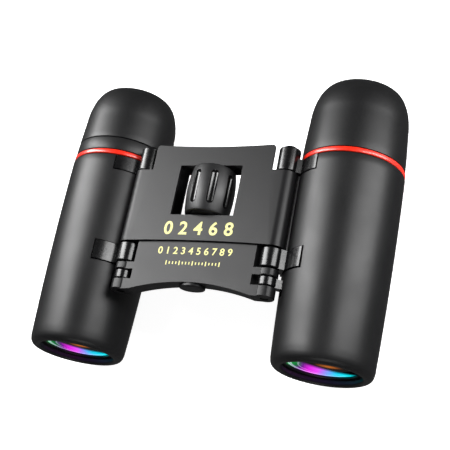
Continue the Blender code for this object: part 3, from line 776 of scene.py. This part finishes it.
def makeTopCover():
    low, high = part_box("bridge_top_cover")
    z = hingeZ / mm
    top = high.z / mm - z
    front = high.y / mm
    back = low.y / mm
    rodX = rodAt["right"].x / mm
    r = cover["sleeve"]
    # the section: flat on top, rolled round each rod, drawn out along the rods
    section = []
    under = top - cover["sheet"]
    endAngle = 180 - math.degrees(math.asin(under / r))
    steps = 40
    for sign in (1, -1):
        half = []
        for i in range(steps + 1):
            a = math.radians(90 - (90 + 360 - endAngle) * i / steps)
            half.append((sign * (rodX + r * math.cos(a)), r * math.sin(a)))
        section += half if sign > 0 else list(reversed(half))
    deselectAll()
    bpy.ops.mesh.primitive_circle_add(vertices=len(section), radius=0.01, location=(0, cover["notchY"] * mm, hingeZ))
    piece = newest("bridgeTopCover")
    for vertex, (x, dz) in zip(piece.data.vertices, section):
        vertex.co = (x * mm, cover["notchY"] * mm, hingeZ + dz * mm)
    bpy.ops.object.mode_set(mode="EDIT")
    bpy.ops.mesh.select_all(action="SELECT")
    bpy.ops.mesh.edge_face_add()
    bpy.ops.mesh.extrude_region_move(TRANSFORM_OT_translate={"value": (0, (front - cover["notchY"]) * mm, 0)})
    bpy.ops.mesh.select_all(action="SELECT")
    bpy.ops.mesh.normals_make_consistent(inside=False)
    bpy.ops.object.mode_set(mode="OBJECT")
    tab = boxPiece("backTab", (-cover["halfBack"], back, z + under), (cover["halfBack"], cover["notchY"] + 3, z + top))
    makeActive(tab)
    bpy.ops.object.mode_set(mode="EDIT")
    pick(tab, lambda e: all(v.co.y < (back + 0.1) * mm for v in e.verts) and abs(e.verts[0].co.x - e.verts[1].co.x) < 1e-6, "edges")
    bpy.ops.mesh.bevel(offset=cover["corner"] * mm, segments=5)
    bpy.ops.object.mode_set(mode="OBJECT")
    for each in (piece, tab):
        levelAt(each, high.z)
    weldOn(piece, tab)
    levelAt(piece, high.z)
    for rib in ((-15.2, -13.2), (3.1, 4.9)):
        weldOn(piece, boxPiece("rib", (-5.0, rib[0], z - 2.3), (5.0, rib[1], z + under + 0.2)))
    carve(piece, bowCutter("backBow", cover["halfBack"] - cover["corner"], cover["backBow"], back, -1, hingeZ))
    carve(piece, bowCutter("frontBow", rodX, cover["frontBow"], front, 1, hingeZ + 3 * mm, 3.0))
    w = cover["windowX"]
    carve(piece, boxPiece("window", (-w, cover["windowY"][0], z - 8), (w, cover["windowY"][1], z + 8)))
    for side in ("left", "right"):
        rod = Vector((rodAt[side].x, 0, hingeZ))
        hole = [(-30, 0), (-30, 1.2), (30, 1.2), (30, 0)]
        carve(piece, turn("rodHole", rod, hole, 32))
    carve(piece, turn("spindleHole", Vector((0, 0, hingeZ)), [(-30, 0), (-30, 1.65), (30, 1.65), (30, 0)], 32))
    joinFlats(piece)
    soften(piece, cover["edge"], 2, 40)
    smooth(piece, 20)
    settle(piece, "bridge", bridgePaint, "bridge_paint", "bridge_top_cover")


def makeBottomCover():
    low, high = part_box("bridge_bottom_cover")
    corners = [[value / mm for value in corner] for corner in (low, high)]
    corners[1][2] = corners[0][2] + cover["sheet"]
    piece = boxPiece("bridgeBottomCover", *corners)
    half = high.x / mm
    w = cover["windowX"]
    z = low.z / mm
    carve(piece, boxPiece("window", (-w, cover["windowY"][0], z - 3), (w, cover["windowY"][1], z + 3)))
    for x in ((-half - 1, -cover["narrow"]), (cover["narrow"], half + 1)):
        carve(piece, boxPiece("corner", (x[0], corners[0][1] - 3, z - 3), (x[1], cover["notchY"], z + 3)))
    carve(piece, bowCutter("backBow", cover["narrow"], cover["backBow"], corners[0][1], -1, low.z))
    carve(piece, bowCutter("frontBow", half, cover["frontBow"], corners[1][1], 1, low.z))
    for name in screwNames:
        at = axisOf(name)
        deselectAll()
        bpy.ops.mesh.primitive_cylinder_add(vertices=48, radius=1.75 * mm, depth=2 * mm, location=(at.x, at.y, low.z - 0.65 * mm))
        carve(piece, newest("screwSeat"))
        deselectAll()
        bpy.ops.mesh.primitive_cylinder_add(vertices=32, radius=1.0 * mm, depth=4 * mm, location=(at.x, at.y, low.z))
        carve(piece, newest("screwHole"))
    joinFlats(piece)
    soften(piece, cover["edge"], 2, 40)
    smooth(piece, 20)
    settle(piece, "bridge", bridgePaint, "bridge_paint", "bridge_bottom_cover")


screwNames = sorted(name for name in frame["nodes"] if name.startswith("cover_screw"))


def makeScrews():
    for number, name in enumerate(screwNames):
        low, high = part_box(name)
        at = (low + high) / 2
        headRadius = (high.x - low.x) / 2 / mm
        deselectAll()
        bpy.ops.mesh.primitive_cylinder_add(
            vertices=48, radius=headRadius * mm, depth=0.3 * mm, location=(at.x, at.y, low.z + 0.15 * mm)
        )
        screw = newest(f"coverScrew{number + 1}")
        makeActive(screw)
        bpy.ops.object.mode_set(mode="EDIT")
        pick(screw, lambda f: f.normal.z > 0.9)
        bpy.ops.mesh.inset(thickness=(headRadius - 0.75) * mm)
        bpy.ops.mesh.extrude_region_move(TRANSFORM_OT_translate={"value": (0, 0, high.z - low.z - 0.3 * mm)})
        bpy.ops.object.mode_set(mode="OBJECT")
        z = low.z / mm
        x, y = at.x / mm, at.y / mm
        for halfX, halfY in ((0.95, 0.2), (0.2, 0.95)):
            recess = boxPiece("recess", (x - halfX, y - halfY, z - 1), (x + halfX, y + halfY, z + 0.22))
            carve(screw, recess)
        smooth(screw)
        settle(screw, "bridge", platedSteel, "steel", name)


plate = {"top": 2.35, "halfX": 18.4, "y": (6.4, 25.7), "kinkX": 18.9, "bow": 2.9, "knuckle": 2.8, "edge": 0.16,
         "first": (17.5, 19.6), "last": (22.6, 25.7), "kinkRound": 2.2,
         "bossOut": 1.1}


def makeFocusPlate():
    z = hingeZ / mm
    back, front = plate["y"]
    t = plate["top"]
    rodX = rodAt["right"].x / mm
    piece = boxPiece("focusPlate", (-rodX + 0.4, back, z - t), (rodX - 0.4, front, z + t))
    carve(piece, bowCutter("frontArc", plate["kinkX"], plate["bow"], front, 1, hingeZ))
    makeActive(piece)
    bpy.ops.object.mode_set(mode="EDIT")
    kink = plate["kinkX"] * mm
    pick(
        piece,
        lambda e: all(abs(abs(v.co.x) - kink) < 0.6 * mm and v.co.y > (front - 0.6) * mm for v in e.verts)
        and abs(e.verts[0].co.z - e.verts[1].co.z) > t * mm,
        "edges",
    )
    bpy.ops.mesh.bevel(offset=plate["kinkRound"] * mm, segments=5)
    bpy.ops.object.mode_set(mode="OBJECT")
    for sign in (-1, 1):
        edges = sorted((sign * plate["halfX"], sign * (rodX + 3)))
        gaps = ((back - 1, plate["first"][0]), (plate["first"][1], plate["last"][0]))
        for gap in gaps:
            carve(piece, boxPiece("gap", (edges[0], gap[0], z - 5), (edges[1], gap[1], z + 5)))
        rod = Vector((sign * rodX * mm, 0, hingeZ))
        for a, b in (plate["first"], plate["last"]):
            r, soft = plate["knuckle"], 0.2
            line = [(a, 0), (a, r - soft), (a + soft, r), (b - soft, r), (b, r - soft), (b, 0)]
            weldOn(piece, turn("knuckle", rod, line, 48))
        drill = [(back, 0), (back, 1.2), (front + 2, 1.2), (front + 2, 0)]
        carve(piece, turn("rodHole", rod, drill, 32))
    bossFront = front - plate["bow"] + plate["bossOut"]
    bossHigh, bossWide, soft = 2.8, 3.9, 0.35
    bossLine = [(11.6, 0), (11.6, bossHigh), (bossFront - soft, bossHigh)]
    bossLine += [(bossFront - 0.1, bossHigh - 0.12), (bossFront, bossHigh - soft), (bossFront, 0)]
    boss = turn("boss", Vector((0, 0, hingeZ - 0.7 * mm)), bossLine, 96)
    boss.scale.x = bossWide / bossHigh
    makeActive(boss)
    bpy.ops.object.transform_apply(location=True, rotation=True, scale=True)
    weldOn(piece, boss)
    carve(piece, turn("spindleBore", Vector((0, 0, hingeZ)), [(0, 0), (0, 1.6), (18.5, 1.6), (18.5, 0)], 32))
    joinFlats(piece)
    soften(piece, plate["edge"], 2, 34)
    smooth(piece, 20)
    settle(piece, "focus_slider", bridgePaint, "bridge_paint", "focus_plate")


wheel = {"endLoss": 0.8, "grooves": 8, "turn": 18, "grooveLength": 5.5, "grooveWidth": 1.25, "grooveDepth": 0.75}


def makeWheel():
    back, front = yRange("focus_wheel")
    r = fullRadius("focus_wheel")
    middle, half = (back + front) / 2, (front - back) / 2
    bore = 1.55
    steps = 24
    outline = [(back, bore), (back, 4.6), (back + 0.5, 4.8)]
    outline += [(back + 0.1, r - wheel["endLoss"] - 0.35)]
    for i in range(steps + 1):
        share = -1 + 2 * i / steps
        outline.append((middle + (half - 0.3) * share, r - wheel["endLoss"] * share ** 2))
    outline += [(front - 0.1, r - wheel["endLoss"] - 0.35), (front - 0.5, 4.8), (front, 4.6), (front, bore)]
    piece = turn("focusWheel", Vector((0, 0, hingeZ)), outline, 128)
    piece.data.materials.append(wheelRubber)
    for i in range(wheel["grooves"]):
        angle = math.radians(360 / wheel["grooves"] * i + wheel["turn"])
        wide, long = wheel["grooveWidth"], wheel["grooveLength"]
        lift = (r - 0.2 + wide - wheel["grooveDepth"]) * mm
        line = arcPoints(middle - long + wide, 0, wide, wide, 180, 90, 8)
        line += arcPoints(middle + long - wide, 0, wide, wide, 90, 0, 8)
        groove = turn("groove", Vector((math.sin(angle) * lift, 0, hingeZ + math.cos(angle) * lift)), line, 32)
        # the groove floors take the darker, glossier rubber: painted shade in the grooves
        groove.data.materials.append(grooveShadeAndGloss)
        combineKeepingFinish(piece, groove)
    soften(piece, 0.12, 3, 28)
    smooth(piece, 40)
    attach(piece, "focus_wheel_body")
    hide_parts("focus_wheel")


def combineKeepingFinish(piece, cutter):
    useModifier(piece, "BOOLEAN", object=cutter, operation="DIFFERENCE", solver="EXACT", material_mode="TRANSFER")
    bpy.data.objects.remove(cutter)


def makeRods():
    for side in ("left", "right"):
        back, front = yRange(side + "_hinge_rod")
        rod = Vector((rodAt[side].x, 0, hingeZ))
        outline = [(back, 0), (back, 1.3)]
        outline += arcPoints(back + 0.5, 1.4, 0.5, 0.5, 180, 90, 4)
        outline += [(back + 0.65, 1.9), (back + 0.65, 1.1), (front - 0.2, 1.1), (front, 0.9), (front, 0)]
        piece = turn(side + "HingeRod", rod, outline, 48)
        smooth(piece)
        settle(piece, "bridge", blackAnodised, "steel", side + "_hinge_rod")


makeTopCover()
makeBottomCover()
makeScrews()
makeFocusPlate()
makeWheel()
makeRods()
print("bridge ready")

# ---- the printed scale on the bridge: plain dial numbers and tick marks

print2 = {"big": "02468", "bigHeight": 4.1, "bigY": 7.2, "bigSpan": 23.5, "thick": 0.03,
          "small": "0123456789", "smallHeight": 2.2, "smallY": 13.7, "smallSpan": 24.0}


def printedNumber(text, x, y, z, height, bold, body, name):
    deselectAll()
    bpy.ops.object.text_add(location=(x * mm, y * mm, z * mm), rotation=(0, 0, halfTurn))
    letters = bpy.context.object
    letters.name = name
    letters.data.body = text
    letters.data.size = height * mm * 1.35
    letters.data.offset = bold * mm
    letters.data.extrude = print2["thick"] / 2 * mm
    letters.data.align_x = "CENTER"
    letters.data.align_y = "CENTER"
    bpy.ops.object.convert(target="MESH")
    piece = newest(name)
    settle(piece, body, paleInk, "bridge_paint")


def makePrint():
    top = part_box("bridge_top_cover")[1].z / mm + print2["thick"] / 2 + 0.005
    count = len(print2["big"])
    for i, digit in enumerate(print2["big"]):
        x = print2["bigSpan"] * ((i + 0.5) / count - 0.5)
        printedNumber(digit, -x, print2["bigY"], top, print2["bigHeight"], 0.11, "bridge", f"scaleNumber{i + 1}")
    plateTop = hingeZ / mm + plate["top"] + print2["thick"] / 2 + 0.005
    count = len(print2["small"])
    for i, digit in enumerate(print2["small"]):
        x = print2["smallSpan"] * ((i + 0.5) / count - 0.5)
        printedNumber(
            digit, -x, print2["smallY"], plateTop, print2["smallHeight"], 0.05, "focus_slider", f"plateNumber{i + 1}"
        )
    y, half, count, tall = 17.3, 8.2, 17, 1.3
    ticks = []
    for i in range(count):
        x = -half + 2 * half * i / (count - 1)
        long = tall if i % 4 == 0 else tall * 0.6
        ticks.append(boxPiece("tick", (x - 0.16, y - long / 2, plateTop - 0.015), (x + 0.16, y + long / 2, plateTop + 0.015)))
    deselectAll()
    for tick in ticks:
        tick.select_set(True)
    bpy.context.view_layer.objects.active = ticks[0]
    bpy.ops.object.join()
    settle(newest("tickRow"), "focus_slider", paleInk, "bridge_paint")


makePrint()
print("print ready")

# ---- finishes for the CAD nodes that stay

keptFinish = {"prism_cage": blackAnodised, "prism": glass, "field_lens": glass, "spindle": platedSteel}
for name, node in frame["nodes"].items():
    for word, finish in keptFinish.items():
        if word in name:
            node.data.materials.clear()
            node.data.materials.append(finish)
            break

# ---- floor, light and camera

view = {"azimuth": 228.26, "elevation": 56.98, "roll": -41.76, "distance": 280.0, "aim": (-6.45, 4.35), "lens": 79.24}


def direction(azimuth, elevation):
    a, e = math.radians(azimuth), math.radians(elevation)
    return Vector((math.sin(a) * math.cos(e), -math.cos(a) * math.cos(e), math.sin(e)))


def makeFloor():
    deselectAll()
    bpy.ops.mesh.primitive_plane_add(size=6, location=(0, 0, -0.0002))
    floor = newest("studioFloor")
    paper, tree, shader = newMaterial("paleStudioPaper", Roughness=0.9, Emission_Strength=0.9)
    place = addNode(tree, "ShaderNodeTexCoord").outputs["Object"]
    fibre = addNode(tree, "ShaderNodeTexNoise", {"Scale": perMetre(4), "Detail": 3.0}, {"Vector": place})
    shade = addNode(tree, "ShaderNodeValToRGB", links={"Fac": fibre.outputs["Fac"]})
    fillRamp(shade, [(0.0, colour("#f6f6f6")), (1.0, colour("#fbfbfb"))])
    tree.links.new(shade.outputs["Color"], shader.inputs["Base Color"])
    shader.inputs["Emission Color"].default_value = colour("#ffffff")
    floor.data.materials.append(paper)
    floor.visible_glossy = False    # the dark skins don't mirror the paper


lights = {
    "leftStrip": {"azimuth": 65, "elevation": 43, "distance": 0.6, "size": (0.16, 0.6), "watts": 6.4},
    "rightStrip": {"azimuth": 290, "elevation": 26, "distance": 0.6, "size": (0.14, 0.6), "watts": 4.2},
    "lowFront": {"azimuth": 196, "elevation": 16, "distance": 0.7, "size": (0.4, 0.2), "watts": 0.8},
}


def makeLights():
    aim = Vector((0, 0, hingeZ))
    for name, box in lights.items():
        lamp = bpy.data.lights.new(name, "AREA")
        lamp.shape = "RECTANGLE"
        lamp.size, lamp.size_y = box["size"]
        lamp.energy = box["watts"]
        lampObject = bpy.data.objects.new(name, lamp)
        bpy.context.scene.collection.objects.link(lampObject)
        back = direction(box["azimuth"], box["elevation"])
        lampObject.location = aim + back * box["distance"]
        lampObject.rotation_euler = (-back).to_track_quat("-Z", "Y").to_euler()
    world = bpy.data.worlds.new("studio") if bpy.context.scene.world is None else bpy.context.scene.world
    bpy.context.scene.world = world
    world.use_nodes = True
    world.node_tree.nodes["Background"].inputs["Color"].default_value = colour("#ffffff")
    world.node_tree.nodes["Background"].inputs["Strength"].default_value = 0.1


def makeCamera():
    lens = bpy.data.cameras.new("camera")
    lens.lens = view["lens"]
    lens.sensor_width = 36
    camera = bpy.data.objects.new("camera", lens)
    bpy.context.scene.collection.objects.link(camera)
    back = direction(view["azimuth"], view["elevation"])
    aim = Vector((view["aim"][0] * mm, view["aim"][1] * mm, hingeZ))
    level = Vector((0, 0, 1)).cross(back).normalized()
    upright = back.cross(level)
    roll = math.radians(view["roll"])
    right = math.cos(roll) * level + math.sin(roll) * upright
    up = -math.sin(roll) * level + math.cos(roll) * upright
    camera.matrix_world = Matrix.Translation(aim + back * view["distance"] * mm) @ Matrix((right, up, back)).transposed().to_4x4()
    bpy.context.scene.camera = camera


makeFloor()
makeLights()
makeCamera()
bpy.context.scene.view_settings.view_transform = "Standard"
print("stage ready")
